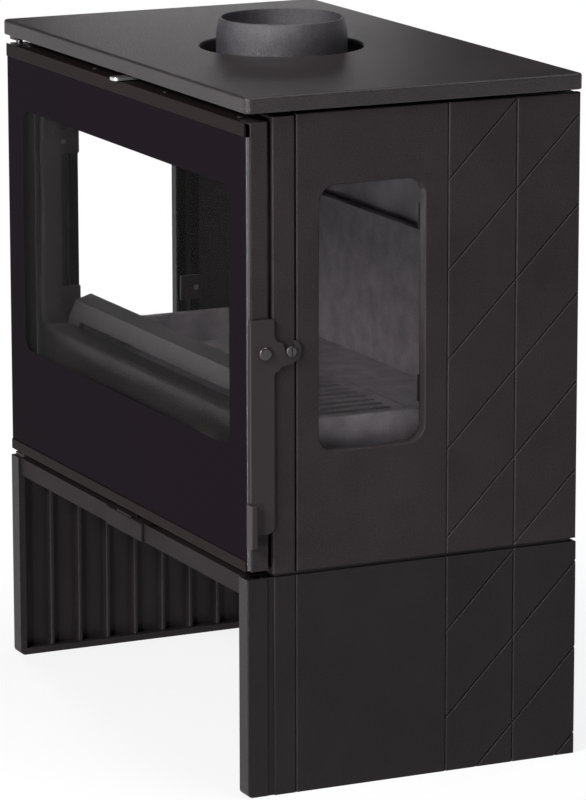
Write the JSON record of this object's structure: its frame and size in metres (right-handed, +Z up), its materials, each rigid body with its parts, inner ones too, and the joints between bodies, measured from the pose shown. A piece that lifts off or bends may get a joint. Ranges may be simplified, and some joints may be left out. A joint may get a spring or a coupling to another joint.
{
  "type": "cast iron wood stove",
  "caption": "Freestanding cast iron wood stove with a full glass side-hinged door, side windows, grooved panels on deep plinth legs, and a round flue collar through a flat top plate.",
  "frame": {"origin": "on the floor, under the middle of the top plate", "axes": "+Z up, the door faces -Y, +X to the right of someone facing the door"},
  "size_m": [0.6934, 0.416, 0.8076],
  "materials": {
    "painted_cast_iron": "satin",
    "bare_iron": "matte",
    "painted_sheet": "satin",
    "painted_steel": "satin",
    "steel_fastener": "satin",
    "door_glass": "polished",
    "window_glass": "polished",
    "gasket_rope": "matte",
    "gasket_tape": "matte"
  },
  "bodies": {
    "stove_body": {"ash_pan": "painted_sheet", "ash_pan_handle": "painted_steel", "back_panel": "painted_cast_iron", "back_panel_screws": "steel_fastener", "baffle_plate": "bare_iron", "base_plate": "painted_cast_iron", "collar_bolts": "steel_fastener", "fireback": "bare_iron", "firebox_floor": "bare_iron", "firebox_top": "painted_cast_iron", "flue_collar": "painted_cast_iron", "frame_bolts": "steel_fastener", "front_frame": "painted_cast_iron", "front_rail": "painted_cast_iron", "latch_keeper_pin": "steel_fastener", "left_clip_screws": "steel_fastener", "left_hearth_curb": "bare_iron", "left_leg": "painted_cast_iron", "left_side_panel": "painted_cast_iron", "left_window_clips": "painted_steel", "left_window_gasket": "gasket_tape", "left_window_glass": "window_glass", "leg_bolts": "steel_fastener", "log_retainer": "bare_iron", "lower_hinge_bracket": "painted_steel", "lower_hinge_pin": "steel_fastener", "plate_spacers": "steel_fastener", "right_clip_screws": "steel_fastener", "right_hearth_curb": "bare_iron", "right_leg": "painted_cast_iron", "right_side_panel": "painted_cast_iron", "right_window_clips": "painted_steel", "right_window_gasket": "gasket_tape", "right_window_glass": "window_glass", "top_plate": "painted_cast_iron", "upper_hinge_bracket": "painted_steel", "upper_hinge_pin": "steel_fastener"},
    "door": {"door_frame": "painted_cast_iron", "door_glass": "door_glass", "glass_gasket": "gasket_tape", "door_rope_gasket": "gasket_rope", "top_glazing_strip": "painted_sheet", "bottom_glazing_strip": "painted_sheet", "top_strip_screws": "steel_fastener", "bottom_strip_screws": "steel_fastener", "latch_pivot_bolt": "steel_fastener", "latch_washer": "steel_fastener"},
    "latch": {"latch_lever": "painted_steel"},
    "air_slider": {"primary_air_slider": "painted_sheet"},
    "airwash": {"airwash_rod": "painted_sheet"},
    "grate": {"fire_grate": "bare_iron"}
  },
  "joints": [
    {"name": "door_hinge", "type": "hinge", "parent": "stove_body", "child": "door", "pos_m": [-0.326, -0.189, 0.501], "axis": [0, 0, -1], "range_deg": [0, 110]},
    {"name": "latch_pivot", "type": "hinge", "parent": "door", "child": "latch", "pos_m": [0.3399, -0.1835, 0.497], "axis": [-1, 0, 0], "range_deg": [0, 30]},
    {"name": "primary_air_slide", "type": "slide", "parent": "stove_body", "child": "air_slider", "axis": [1, 0, 0], "range_m": [0, 0.035]},
    {"name": "airwash_slide", "type": "slide", "parent": "stove_body", "child": "airwash", "axis": [0, -1, 0], "range_m": [0, 0.025]},
    {"name": "grate_lift", "type": "slide", "parent": "stove_body", "child": "grate", "axis": [0, 0, 1], "range_m": [0, 0.15]}
  ]
}
